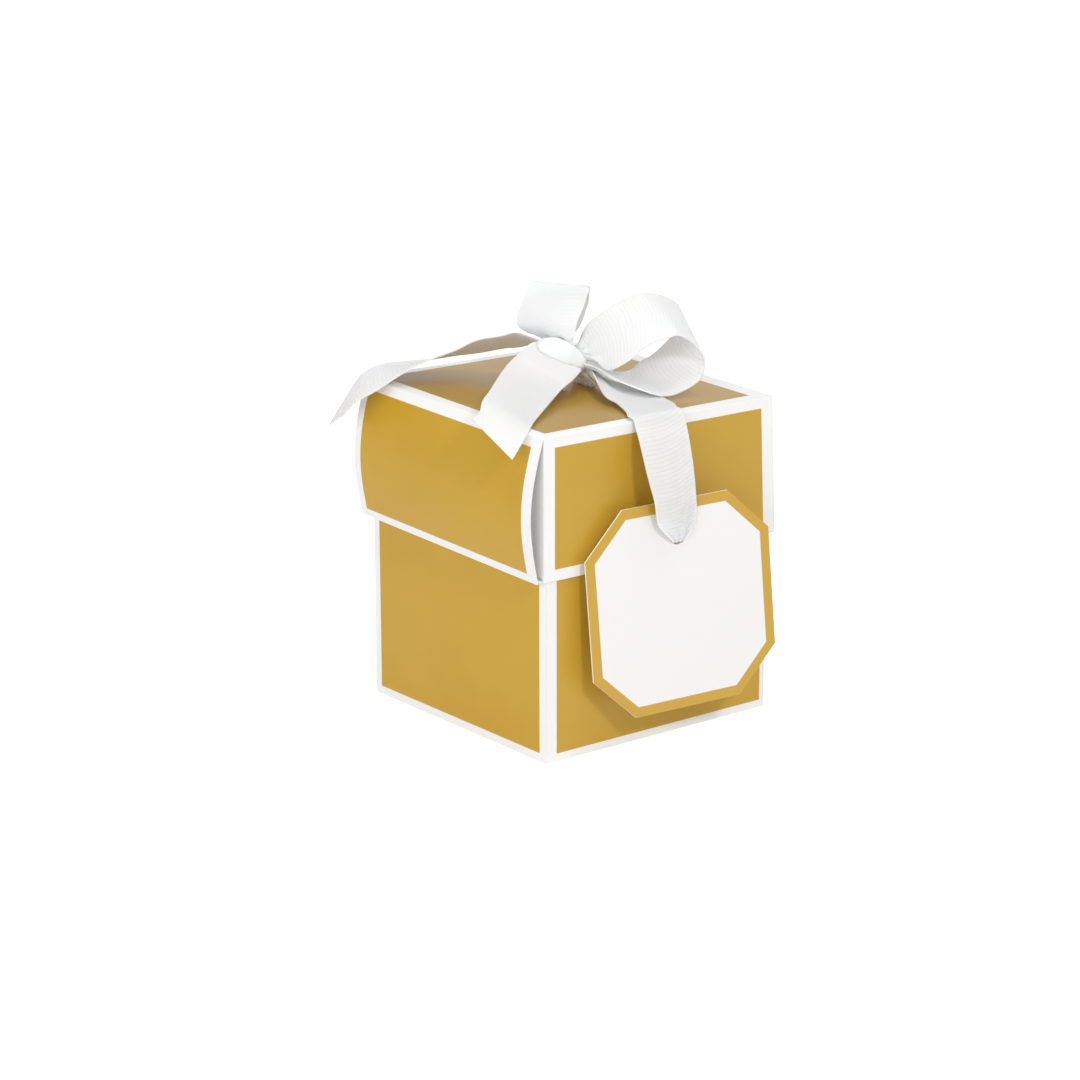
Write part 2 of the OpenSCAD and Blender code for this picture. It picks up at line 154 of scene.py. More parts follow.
# Material helpers
class Graph:
    """Short calls for building one material's nodes."""

    def __init__(self, name):
        self.material = bpy.data.materials.new(name)
        self.material.use_nodes = True
        self.tree = self.material.node_tree
        self.tree.nodes.clear()
        self.output = self.tree.nodes.new("ShaderNodeOutputMaterial")

    def node(self, kind, **settings):
        node = self.tree.nodes.new(kind)
        for key, value in settings.items():
            setattr(node, key, value)
        return node

    def link(self, source, target):
        self.tree.links.new(source, target)

    def feed(self, socket, value):
        if isinstance(value, bpy.types.NodeSocket):
            self.link(value, socket)
        else:
            socket.default_value = value

    def math(self, operation, a, b=0.0, c=0.0):
        node = self.node("ShaderNodeMath", operation=operation)
        for socket, value in zip(node.inputs, (a, b, c)):
            self.feed(socket, value)
        return node.outputs[0]

    def dot(self, a, b):
        node = self.node("ShaderNodeVectorMath", operation="DOT_PRODUCT")
        self.feed(node.inputs[0], a)
        self.feed(node.inputs[1], b)
        return node.outputs["Value"]

    def mix(self, factor, a, b):
        node = self.node("ShaderNodeMix", data_type="RGBA")
        self.feed(node.inputs["Factor"], factor)
        self.feed(node.inputs["A"], a)
        self.feed(node.inputs["B"], b)
        return node.outputs["Result"]

    def ramp(self, value, start, end):
        """0 below start, 1 above end, and smooth between."""
        node = self.node("ShaderNodeMapRange", interpolation_type="SMOOTHSTEP")
        self.feed(node.inputs["Value"], value)
        node.inputs["From Min"].default_value = start
        node.inputs["From Max"].default_value = end
        return node.outputs["Result"]

    def noise(self, vector, scale, detail=3.0, rough=0.5):
        node = self.node("ShaderNodeTexNoise")
        self.feed(node.inputs["Vector"], vector)
        node.inputs["Scale"].default_value = scale
        node.inputs["Detail"].default_value = detail
        node.inputs["Roughness"].default_value = rough
        return node.outputs["Fac"]

    def bump(self, height, distance, strength):
        node = self.node("ShaderNodeBump")
        node.inputs["Strength"].default_value = strength
        node.inputs["Distance"].default_value = distance
        self.feed(node.inputs["Height"], height)
        return node.outputs["Normal"]

    def surface(self, color, roughness, normal, **values):
        shader = self.node("ShaderNodeBsdfPrincipled")
        self.feed(shader.inputs["Base Color"], color)
        self.feed(shader.inputs["Roughness"], roughness)
        self.feed(shader.inputs["Normal"], normal)
        for key, value in values.items():
            shader.inputs[key.replace("_", " ")].default_value = value
        self.link(shader.outputs[0], self.output.inputs["Surface"])
        return shader


PRINT_SOFTNESS = 0.06 * MM
MOTTLE_SCALE = 55.0
FIBRE_SCALE = 2600.0
GRAIN_SCALE = 900.0
PRINT_GRAIN = 0.004 * MM
PLAIN_GRAIN = 0.008 * MM
TAG_GRAIN = 0.006 * MM
CARD_ROUGHNESS = 0.55
PLAIN_ROUGHNESS = 0.6
INK_SMOOTHS = -0.2
# Share of a face's turn towards its outward side from which it counts as outer, and fully so
OUTER_FROM = 0.3
OUTER_FULL = 0.6


def printed_field(graph, coords, edges):
    """1 inside all the edges, with a print's slightly soft edge.

    An edge is a direction and how far the field goes along it.
    """
    field = 1.0
    for direction, limit in edges:
        beyond = graph.ramp(graph.dot(coords, direction), limit - PRINT_SOFTNESS, limit + PRINT_SOFTNESS)
        field = graph.math("MULTIPLY", graph.math("SUBTRACT", 1.0, beyond), field)
    return field


def card_surface(graph, coords, field, outward_share, printed, deep, shine):
    """Printed card: satin ink inside the field, coated white border, duller inner faces."""
    mottle = graph.noise(coords, MOTTLE_SCALE, 2.0, 0.5)
    ink = graph.mix(graph.ramp(mottle, 0.3, 0.7), deep, printed)
    fibre = graph.noise(coords, FIBRE_SCALE, 4.0, 0.6)
    white = graph.mix(graph.ramp(fibre, 0.2, 0.9), CARD_EDGE, CARD_WHITE)
    white = graph.mix(outward_share, white, CARD_WHITE)
    mask = graph.math("MULTIPLY", field, outward_share)
    color = graph.mix(mask, white, ink)
    roughness = graph.math("MULTIPLY_ADD", mask, INK_SMOOTHS, CARD_ROUGHNESS)
    normal = graph.bump(graph.noise(coords, GRAIN_SCALE, 3.0, 0.55), PRINT_GRAIN, 0.4)
    graph.surface(color, roughness, normal, Specular_IOR_Level=shine)


def between(direction, low_edge, high_edge):
    """The two edges of a field along one direction."""
    direction = Vector(direction)
    return [(direction, high_edge), (-direction, -low_edge)]


def printed_panel(name, outward, edges, printed, deep, shine):
    """Card whose outer face carries a printed field inside the given edges."""
    graph = Graph(name)
    place = graph.node("ShaderNodeTexCoord")
    coords = place.outputs["Object"]
    facing = graph.dot(place.outputs["Normal"], outward)
    outer = graph.ramp(facing, OUTER_FROM, OUTER_FULL)
    card_surface(graph, coords, printed_field(graph, coords, edges), outer, printed, deep, shine)
    return graph.material


def plain_card():
    graph = Graph("white_card")
    coords = graph.node("ShaderNodeTexCoord").outputs["Object"]
    fibre = graph.noise(coords, FIBRE_SCALE, 4.0, 0.6)
    color = graph.mix(graph.ramp(fibre, 0.2, 0.9), CARD_EDGE, CARD_WHITE)
    normal = graph.bump(graph.noise(coords, GRAIN_SCALE, 3.0, 0.55), PLAIN_GRAIN, 0.5)
    graph.surface(color, PLAIN_ROUGHNESS, normal, Specular_IOR_Level=0.4)
    return graph.material


def wear(node, material):
    """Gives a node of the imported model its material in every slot."""
    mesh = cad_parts[node].data
    mesh.materials.clear()
    mesh.materials.append(material)


# White left round each printed field, mm: towards -X or -Y, towards +X or +Y, below, above.
# On the lid's top below and above are front and back
BORDERS = {
    "base_left_wall": (1.95, 1.8, 1.8, 1.95),
    "base_right_wall": (1.95, 1.95, 1.8, 1.95),
    "base_front_wall": (2.7, 1.2, 1.65, 1.95),
    "base_back_wall": (1.95, 1.95, 1.8, 1.95),
    "lid_top": (2.5, 4.2, 2.4, 2.5),
    "lid_front_skirt": (3.1, 3.1, 2.25, 1.95),
    "lid_back_skirt": (3.1, 3.1, 2.25, 1.95),
    "lid_left_skirt": (2.6, 2.1, 1.65, 1.85),
    "lid_right_skirt": (2.6, 2.1, 1.65, 1.85),
}
OUTWARD = {"left": (-1, 0, 0), "right": (1, 0, 0), "front": (0, -1, 0), "back": (0, 1, 0), "top": (0, 0, 1)}

SIDE_SHINE = 0.35
TOP_SHINE = 0.6
FOLD_ROUND = BOARD * 0.9
FOLD_SEGMENTS = 4
RIM_REACH = BOARD * 0.2
TOP_CREASE = math.radians(35)


def round_top_folds():
    """The lid's top again, with the upper edges that are folds rounded as card folds."""
    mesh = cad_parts["lid_top"].data.copy()
    piece = bpy.data.objects.new("lid_top_card", mesh)
    bpy.context.collection.objects.link(piece)
    work = bmesh.new()
    work.from_mesh(mesh)
    bmesh.ops.remove_doubles(work, verts=work.verts, dist=0.001 * MM)
    bmesh.ops.dissolve_limit(work, angle_limit=math.radians(1), verts=work.verts, edges=work.edges)
    upper = [e for e in work.edges if all(on_outer_rim(v.co) for v in e.verts)]
    bmesh.ops.bevel(work, geom=upper, offset=FOLD_ROUND, segments=FOLD_SEGMENTS, profile=0.5, affect="EDGES")
    work.to_mesh(mesh)
    work.free()
    for polygon in mesh.polygons:
        polygon.use_smooth = True
    mesh.set_sharp_from_angle(angle=TOP_CREASE)
    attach(piece, "lid")
    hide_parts("lid_top")


def on_outer_rim(place):
    """Whether a point is on the rim of the lid's upper face."""
    rise = place.z - LID_LEAN * (place.y + LID_HALF_Y)
    edge = min(place.x + LID_HALF_X, LID_RIGHT - place.x, place.y + LID_HALF_Y, LID_HALF_Y - place.y)
    return rise > LID_TOP - RIM_REACH and edge < RIM_REACH


def dress_box():
    # The lid rises towards the back, so its skirts are measured along a leaned direction
    shift = LID_LEAN * LID_HALF_Y
    leaned = Vector((0, -LID_LEAN, 1))
    slope = RIGHT_SPLAY / (SKIRT_TOP - LID_LOW)
    sloping = Vector((1, 0, 0)) + slope * leaned
    x_way = Vector((1, 0, 0))
    y_way = Vector((0, 1, 0))
    panels = []
    for node, borders in BORDERS.items():
        before, after, below, above = [b * MM for b in borders]
        side_way = y_way if "_left_" in node or "_right_" in node else x_way
        if node.startswith("base"):
            edges = between(side_way, -BASE_HALF + before, BASE_HALF - after)
            edges += between((0, 0, 1), below, BASE_TOP - above)
        elif node == "lid_top":
            edges = between(x_way, -LID_HALF_X + before, LID_RIGHT - after)
            edges += between(y_way, -LID_HALF_Y + below, LID_HALF_Y - above)
        else:
            edges = between(leaned, LID_LOW + below + shift, SKIRT_TOP - above + shift)
            if side_way == y_way:
                edges += between(y_way, -LID_HALF_Y + before, LID_HALF_Y - after)
            else:
                edges.append((-x_way, LID_HALF_X - before))
                edges.append((sloping, LID_RIGHT - after + slope * (SKIRT_TOP + shift)))
        panels.append((node, OUTWARD[node.split("_")[1]], edges))
    for node, outward, edges in panels:
        inks = (GOLD, GOLD_DEEP, SIDE_SHINE)
        # The lid top's darker gold is painted shade
        if node == "lid_top":
            inks = (GOLD_SHADED_TOP, GOLD_SHADED_TOP_DEEP, TOP_SHINE)
        # The front and back walls' paler gold is painted light
        elif outward[1]:
            inks = (GOLD_LIT_FRONT, GOLD_LIT_FRONT_DEEP, SIDE_SHINE)
        wear(node, printed_panel(node + "_print", outward, edges, *inks))
    round_top_folds()
    white = plain_card()
    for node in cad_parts:
        if node.endswith(("_tab", "_liner")) or node == "base_bottom":
            wear(node, white)


# Tag: the same turn and tilt as the part's
TAG_YAW = -9.5
TAG_TILT = -4.24
TAG_ROLL = 2.4
TAG_SIZE = 41.8 * MM
TAG_BORDER = 2.08 * MM
TAG_INNER_CORNER = 7.49 * MM
TAG_T = 0.4 * MM
HOLE_D = 3.6 * MM
HOLE_DROP = 7.1 * MM
TAG_HANG = 15.8 * MM
TAG_STAND_OFF = 4.85 * MM
HOLE_UP = TAG_SIZE / 2 - HOLE_DROP
HALF_ROOT = 0.7071

TAG_TURN = (
    Matrix.Rotation(math.radians(TAG_YAW), 3, "Z")
    @ Matrix.Rotation(math.radians(TAG_TILT), 3, "X")
    @ Matrix.Rotation(math.radians(-TAG_ROLL), 3, "Y")
)
TAG_CENTRE = Vector(
    (
        0,
        -LID_HALF_Y - TAG_STAND_OFF - TAG_SIZE / 2 * math.sin(math.radians(-TAG_TILT)),
        LID_TOP - TAG_HANG - TAG_SIZE / 2 * math.cos(math.radians(TAG_TILT)),
    )
)


def on_tag(x, y, z):
    return TAG_CENTRE + TAG_TURN @ Vector((x, y, z))


def dress_tag():
    graph = Graph("gift_tag_print")
    place = graph.node("ShaderNodeTexCoord")
    coords = place.outputs["Object"]
    shift = graph.node("ShaderNodeVectorMath", operation="SUBTRACT")
    graph.link(coords, shift.inputs[0])
    shift.inputs[1].default_value = TAG_CENTRE
    local = shift.outputs[0]
    side, out, rise = (TAG_TURN.col[i] for i in range(3))
    x = graph.math("ABSOLUTE", graph.dot(local, side))
    z = graph.math("ABSOLUTE", graph.dot(local, rise))
    inner = TAG_SIZE / 2 - TAG_BORDER
    beyond_side = graph.math("SUBTRACT", graph.math("MAXIMUM", x, z), inner)
    corner = graph.math("SUBTRACT", graph.math("ADD", x, z), 2 * inner - TAG_INNER_CORNER)
    beyond = graph.math("MAXIMUM", beyond_side, graph.math("MULTIPLY", corner, HALF_ROOT))
    field = graph.ramp(beyond, -PRINT_SOFTNESS, PRINT_SOFTNESS)
    facing = graph.dot(place.outputs["Normal"], tuple(-out))
    outer = graph.ramp(facing, OUTER_FROM, OUTER_FULL)
    mask = graph.math("MULTIPLY", field, outer)
    # Painted highlight: the cut edges and back are brighter than the printed face's white
    color = graph.mix(mask, graph.mix(outer, TAG_EDGE_HIGHLIGHT, TAG_WHITE), TAG_GOLD)
    roughness = graph.math("MULTIPLY_ADD", mask, INK_SMOOTHS, CARD_ROUGHNESS)
    normal = graph.bump(graph.noise(coords, GRAIN_SCALE, 3.0, 0.55), TAG_GRAIN, 0.5)
    graph.surface(color, roughness, normal, Specular_IOR_Level=0.5)
    wear("gift_tag", graph.material)


# Ribbon stations: the middle as shares of the lid's half width, half depth and the knot's rise,
# the direction across, and the share of the ribbon's width
LOOP_RIGHT = [
    ((-0.02, -0.02, 1.22), (-0.1, -0.9, -0.2), 0.30),
    ((0.03, -0.12, 1.28), (-0.1, -0.9, -0.3), 0.48),
    ((0.05, -0.24, 1.49), (-0.1, -0.7, -0.7), 0.89),
    ((0.10, -0.37, 1.88), (-0.1, -0.7, -0.7), 1),
    ((0.20, -0.46, 2.33), (-0.1, -0.8, -0.6), 1),
    ((0.31, -0.51, 2.51), (-0.1, -0.8, -0.6), 1),
    ((0.42, -0.54, 2.51), (-0.2, -0.8, -0.5), 1),
    ((0.56, -0.56, 2.18), (-0.3, -0.8, -0.5), 1),
    ((0.615, -0.58, 1.70), (-0.2, -0.8, -0.5), 1),
    ((0.56, -0.58, 1.14), (-0.1, -0.8, -0.6), 1),
    ((0.42, -0.54, 0.69), (-0.2, -0.9, -0.5), 1),
    ((0.33, -0.50, 0.55), (-0.3, -0.9, -0.4), 1),
    ((0.22, -0.45, 0.52), (-0.5, -0.9, -0.1), 1),
    ((0.12, -0.35, 0.62), (-0.5, -0.9, 0), 0.81),
    ((0.07, -0.19, 0.92), (-0.5, -0.9, -0.2), 0.48),
    ((0.00, -0.03, 0.95), (-0.5, -0.9, -0.2), 0.30),
]
LOOP_BACK = [
    ((-0.05, 0.00, 1.20), (0.2, -1, 0.1), 0.30),
    ((-0.05, 0.04, 1.54), (0.2, -1, 0.1), 0.55),
    ((-0.11, 0.07, 1.78), (0.4, -0.9, 0), 0.90),
    ((-0.14, 0.07, 2.15), (0.6, -0.8, 0), 1),
    ((-0.08, 0.07, 2.77), (0.8, -0.6, -0.1), 1),
    ((-0.04, 0.07, 3.18), (0.8, -0.6, -0.1), 1),
    ((-0.02, 0.09, 3.30), (0.8, -0.6, -0.1), 1),
    ((0.00, 0.11, 3.17), (0.7, -0.7, -0.1), 1),
    ((0.02, 0.16, 2.62), (0.8, -0.6, -0.1), 1),
    ((-0.02, 0.17, 1.94), (0.6, -0.8, -0.1), 0.89),
    ((0.01, 0.14, 1.55), (0.6, -0.8, 0), 0.34),
    ((0.01, 0.09, 1.28), (0.6, -0.8, 0), 0.30),
]
TAIL_LEFT = [
    ((-0.05, 0.04, 1.12), (-0.6, -0.7, 0.4), 0.30),
    ((-0.14, 0.16, 1.46), (-0.6, -0.7, 0.4), 0.36),
    ((-0.22, 0.27, 1.52), (-0.6, -0.7, 0.5), 0.81),
    ((-0.29, 0.37, 1.42), (-0.6, -0.7, 0.4), 1),
    ((-0.40, 0.50, 1.25), (-0.6, -0.7, 0.4), 1),
    ((-0.52, 0.61, 1.03), (-0.6, -0.8, 0.3), 1),
    ((-0.68, 0.69, 0.85), (-0.6, -0.8, 0.2), 1),
    ((-0.87, 0.76, 0.65), (-0.6, -0.8, 0), 1),
    ((-1.03, 0.81, 0.41), (-0.6, -0.8, -0.2), 1),
    ((-1.12, 0.88, 0.12), (-0.6, -0.8, -0.2), 1),
    ((-1.19, 0.94, -0.40), (-0.5, -0.9, 0.1), 1),
    ((-1.26, 0.97, -0.89), (-0.3, -0.9, 0.4), 1),
]
TAIL_FRONT = [
    ((-0.07, 0.01, 1.36), (0.8, -0.6, -0.1), 0.30),
    ((-0.09, -0.04, 1.47), (0.8, -0.6, -0.3), 0.38),
    ((-0.12, -0.10, 1.22), (0.6, -0.5, -0.6), 0.66),
    ((-0.16, -0.07, 1.19), (0.5, -0.8, -0.5), 0.91),
    ((-0.29, -0.12, 1.01), (0.4, -0.9, -0.4), 1),
    ((-0.44, -0.17, 0.76), (0.4, -0.8, -0.3), 1),
    ((-0.83, -0.47, 0.47), (0.2, -0.9, -0.3), 1),
    ((-1.01, -0.63, 0.39), (0.2, -0.9, -0.3), 1),
    ((-1.12, -0.72, 0.18), (0.1, -0.9, -0.3), 1),
    ((-1.22, -0.76, -0.08), (0.1, -0.9, -0.5), 1),
]
TAG_RIBBON = [
    ((0.03, -0.04, 0.68), (0.8, 0.5, -0.2), 0.30),
    ((0.10, -0.12, 0.64), (0.8, 0.5, -0.2), 0.32),
    ((0.10, -0.17, 0.52), (0.8, 0.5, -0.3), 0.48),
    ((0.09, -0.33, 0.39), (0.9, 0.4, -0.2), 0.85),
    ((0.06, -0.51, 0.26), (1, 0.3, -0.1), 1),
    ((0.07, -0.67, 0.17), (1, 0.1, -0.06), 1),
    ((0.02, -0.85, 0.11), (1, 0, -0.02), 1),
]


def on_lid(share):
    return Vector((share[0] * LID_HALF_X, share[1] * LID_HALF_Y, LID_TOP + share[2] * KNOT_RISE))


def from_shares(table):
    return [(on_lid(place), Vector(across), share * RIBBON_W) for place, across, share in table]


def smooth(values, s):
    """Catmull-Rom curve through rows of values, at the stations in s."""
    values = np.asarray(values, float)
    last = len(values) - 1
    i = np.minimum(np.floor(s).astype(int), last - 1)
    t = (s - i)[..., None]
    a = values[np.clip(i - 1, 0, last)]
    b = values[i]
    c = values[i + 1]
    d = values[np.clip(i + 2, 0, last)]
    return (2 * b + (c - a) * t + (2 * a - 5 * b + 4 * c - d) * t**2 + (3 * b - a - 3 * c + d) * t**3) / 2


RING_STEPS = 8
STRIPS = 20
NUDGE = 0.02
RIBBON_CREASE = math.radians(50)


def lengths(v):
    return np.linalg.norm(v, axis=-1, keepdims=True)


def ribbon_piece(name, stations, material, pleats=3, pleat_depth=1.1 * MM, end_depth=None, strips=STRIPS):
    """A thin closed ribbon along stations. Where it is narrower than it was cut, it lies in pleats.

    The pleats are pleat_depth deep at the first station and end_depth at the last.
    """
    end_depth = pleat_depth if end_depth is None else end_depth
    centres = [s[0] for s in stations]
    across = [s[1] for s in stations]
    widths = [[s[2]] for s in stations]
    rings = (len(stations) - 1) * RING_STEPS
    side = np.linspace(-0.5, 0.5, strips + 1)
    share = np.linspace(0, 1, rings + 1)
    s = share[:, None] * np.full((1, strips + 1), float(len(stations) - 1))
    before = np.clip(s - NUDGE, 0, None)
    after = np.clip(s + NUDGE, None, len(stations) - 1)
    tangent = smooth(centres, after) - smooth(centres, before)
    way = smooth(across, s)
    way = way / lengths(way)
    normal = np.cross(tangent, way)
    normal = normal / lengths(normal)
    width = smooth(widths, s)
    gathered = np.clip(1 - width / RIBBON_W, 0, 1)
    depth = pleat_depth + (end_depth - pleat_depth) * share[:, None, None]
    fold = np.cos(2 * math.pi * pleats * (side[None, :, None] + 0.5)) * depth * gathered
    unpleated = smooth(centres, s) + way * side[None, :, None] * width
    middle = unpleated + normal * fold
    slope = np.gradient(middle, axis=1)
    run = np.gradient(middle, axis=0)
    facing = np.cross(run, slope)
    facing = facing / lengths(facing)
    top = middle + facing * RIBBON_T / 2
    bottom = middle - facing * RIBBON_T / 2
    columns = strips + 1
    count = (rings + 1) * columns
    vertices = np.concatenate([top.reshape(-1, 3), bottom.reshape(-1, 3)])
    faces = []
    for i in range(rings):
        for j in range(strips):
            a = i * columns + j
            faces.append((a, a + columns, a + columns + 1, a + 1))
            faces.append((count + a, count + a + 1, count + a + columns + 1, count + a + columns))
    for i in range(rings):
        for j in (0, strips):
            a = i * columns + j
            ring = (a, count + a, count + a + columns, a + columns)
            faces.append(ring if j == 0 else ring[::-1])
    for j in range(strips):
        for i in (0, rings):
            a = i * columns + j
            ring = (a, a + 1, count + a + 1, count + a)
            faces.append(ring if i == 0 else ring[::-1])
    mesh = bpy.data.meshes.new(name)
    mesh.from_pydata([tuple(v) for v in vertices], [], faces)
    mesh.validate()
    steps = lengths(np.diff(unpleated, axis=0))[..., 0]
    along = np.concatenate([np.zeros((1, columns)), np.cumsum(steps, axis=0)])
    flat = np.stack([np.broadcast_to(side * RIBBON_W, along.shape), along], axis=-1).reshape(-1, 2)
    flat = np.concatenate([flat, flat])
    layer = mesh.uv_layers.new(name="UVMap")
    corners = np.zeros(len(mesh.loops), dtype=np.int32)
    mesh.loops.foreach_get("vertex_index", corners)
    layer.data.foreach_set("uv", (flat[corners] / MM).astype(np.float32).ravel())
    mesh.materials.append(material)
    piece = bpy.data.objects.new(name, mesh)
    bpy.context.collection.objects.link(piece)
    for polygon in mesh.polygons:
        polygon.use_smooth = True
    mesh.set_sharp_from_angle(angle=RIBBON_CREASE)
    length = float(along[-1, strips // 2])
    return piece, length


RIB_PITCH = 0.86
SELVEDGE = 0.75
RIB_DEPTH = 0.05 * MM
RIB_DRIFT_SCALE = 0.05
RIB_DRIFT = 0.6
WEAVE_SCALE = 2.2
WEAVE_HEIGHT = 0.12
GROOVE_SHADE = 0.6
LIGHT_REACH = 0.8 * MM
RIBBON_ROUGHNESS = 0.6


def ribbon_material(name, rib_strength, white=RIBBON_WHITE):
    """White ribbon with fine straight ribs across it, painted shade in the rib grooves, and a smooth woven
    edge. Its flat sizes are in mm.
    """
    graph = Graph(name)
    uv = graph.node("ShaderNodeTexCoord").outputs["UV"]
    split = graph.node("ShaderNodeSeparateXYZ")
    graph.link(uv, split.inputs[0])
    across = split.outputs["X"]
    along = split.outputs["Y"]
    drift = graph.math("MULTIPLY", graph.noise(uv, RIB_DRIFT_SCALE, 0.0), RIB_DRIFT)
    phase = graph.math("MULTIPLY", graph.math("ADD", along, drift), 2 * math.pi / RIB_PITCH)
    wave = graph.math("MULTIPLY_ADD", graph.math("SINE", phase), 0.5, 0.5)
    groove = graph.math("POWER", wave, 3.0)
    edge = graph.math("SUBTRACT", RIBBON_W / MM / 2, graph.math("ABSOLUTE", across))
    inside = graph.ramp(edge, SELVEDGE * 0.5, SELVEDGE)
    groove = graph.math("MULTIPLY", groove, inside)
    weave = graph.noise(uv, WEAVE_SCALE, 2.0, 0.6)
    height = graph.math("MULTIPLY_ADD", weave, WEAVE_HEIGHT, graph.math("SUBTRACT", 1.0, groove))
    normal = graph.bump(height, RIB_DEPTH, rib_strength)
    # Painted shade: the colour darkens in the rib grooves
    shade = graph.mix(graph.math("MULTIPLY", groove, GROOVE_SHADE * rib_strength), white, RIBBON_GROOVE_SHADE)
    shader = graph.surface(
        shade, RIBBON_ROUGHNESS, normal, Specular_IOR_Level=0.3, Subsurface_Weight=0.85,
        Subsurface_Scale=LIGHT_REACH, Sheen_Weight=0.1, Sheen_Roughness=0.5
    )
    shader.inputs["Subsurface Radius"].default_value = (1, 1, 1)
    return graph.material


# The point where the ribbon turns over the lid's edge: aside as a share of the lid's width
TURN_ASIDE = -0.028
TURN_GAP = 0.3 * MM
TURN_RISE = 0.4 * MM
TAG_CLEARANCE = 0.35 * MM
NECK_SHARE = 0.75
# Over the lid's edge, from the point where the ribbon turns, mm
OVER_EDGE = [(0, 1.3, 0.5), (0, -0.35, 0.15), (0, -1.25, -1.6)]
# Down to the tag: shares of the fall and of the way out, mm aside, the share of the ribbon's width
HANG = [(0.26, 0.55, 1.0, 0.98), (0.62, 0.9, 1.4, 0.93), (0.95, 1.04, 1.1, 0.84)]
# Tongue at the hole: mm aside, shares of the gap in front, hole's widths up, the share of the
# ribbon's width
TONGUE = [(-0.6, 1.8, 1.0, 0.8), (-0.3, 1.5, 0.5, 0.66), (0, 1.1, 0, 0.42)]


def tag_ribbon_stations():
    """From the knot over the lid's edge, down in front and back through the tag's hole."""
    turn = Vector((TURN_ASIDE * LID_HALF_X * 2, -LID_HALF_Y - TURN_GAP, LID_TOP + TURN_RISE))
    front = TAG_T + TAG_CLEARANCE
    neck_w = HOLE_D * NECK_SHARE
    start = turn + Vector((0, -TURN_GAP, -TURN_GAP))
    over_tag = on_tag(0, -2 * front, TAG_SIZE / 2)
    fall = over_tag - start
    stations = from_shares(TAG_RIBBON)
    level = Vector((1, 0, 0))
    for offset in OVER_EDGE:
        stations.append((turn + Vector(offset) * MM, level, RIBBON_W))
    for depth, out, sway, share in HANG:
        place = start + Vector((fall.x * depth - sway * MM, fall.y * out, fall.z * depth))
        stations.append((place, level, RIBBON_W * share))
    for aside, gaps, up, share in TONGUE:
        stations.append((on_tag(aside * MM, -gaps * front, HOLE_UP + HOLE_D * up), level, RIBBON_W * share))
    stations.append((on_tag(0, -0.5 * front, HOLE_UP - HOLE_D * 0.3), level, neck_w))
    stations.append((on_tag(0, TAG_T, HOLE_UP - HOLE_D * 0.25), level, neck_w))
    stations.append((on_tag(0, TAG_T + 1.0 * MM, HOLE_UP - HOLE_D * 0.1), level, neck_w))
    return stations, turn


SLIT_X = 3 * MM
LEG_W = 5.2 * MM
LEFT_FLARE_W = 3.6 * MM
RIGHT_FLARE_W = 7.6 * MM
LEFT_LEG_OUT = 0.8 * MM
RIGHT_LEG_OUT = -1.3 * MM


def make_under_ribbon(material):
    """Gathered, from the knot down through one slit, along under the lid and up through the other."""
    rise = LID_LEAN * LID_HALF_Y
    way = Vector((0, -1, -LID_LEAN))
    under = SKIRT_TOP + rise - RIBBON_T
    slit_top = LID_TOP + rise + 0.5 * MM
    under_knot = KNOT_CENTRE.z - KNOT_R + 0.6 * MM
    stations = []
    for side, flare_w, out_y in ((-1, LEFT_FLARE_W, LEFT_LEG_OUT), (1, RIGHT_FLARE_W, RIGHT_LEG_OUT)):
        meet_x = KNOT_CENTRE.x + side * SLIT_X * 0.6
        leg = [
            (Vector((meet_x, out_y / 2, under_knot)), way, flare_w),
            (Vector(((side * SLIT_X + meet_x) / 2, out_y, (slit_top + under_knot) / 2)), way, flare_w),
            (Vector((side * SLIT_X, min(out_y, 0), slit_top)), way, max(flare_w, LEG_W * 1.05)),
            (Vector((side * SLIT_X, 0, under + RIBBON_T)), way, LEG_W),
            (Vector((side * SLIT_X * 0.75, 0, under - RIBBON_T)), way, LEG_W),
        ]
        stations += leg if side < 0 else leg[::-1]
    piece, length = ribbon_piece(
        "ribbon_under", stations, material, pleats=5, pleat_depth=0.55 * MM, strips=60
    )
    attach(piece, "lid")
    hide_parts("ribbon_leg_left", "ribbon_leg_right", "ribbon_bridge")


KNOT_R = 3.1 * MM
KNOT_LEN = 7 * MM
KNOT_CROWN = 0.8
KNOT_TURN = -38
FOLD_PLACE = Vector((-1.95, -1.2, 1.3)) * MM
FOLD_AXIS = Vector((0.717, -0.561, -0.413))
FOLD_LEN = 11 * MM
FOLD_R = 3.05 * MM
FOLD_CROWN = 0.62
STOP_CROWN = 0.55


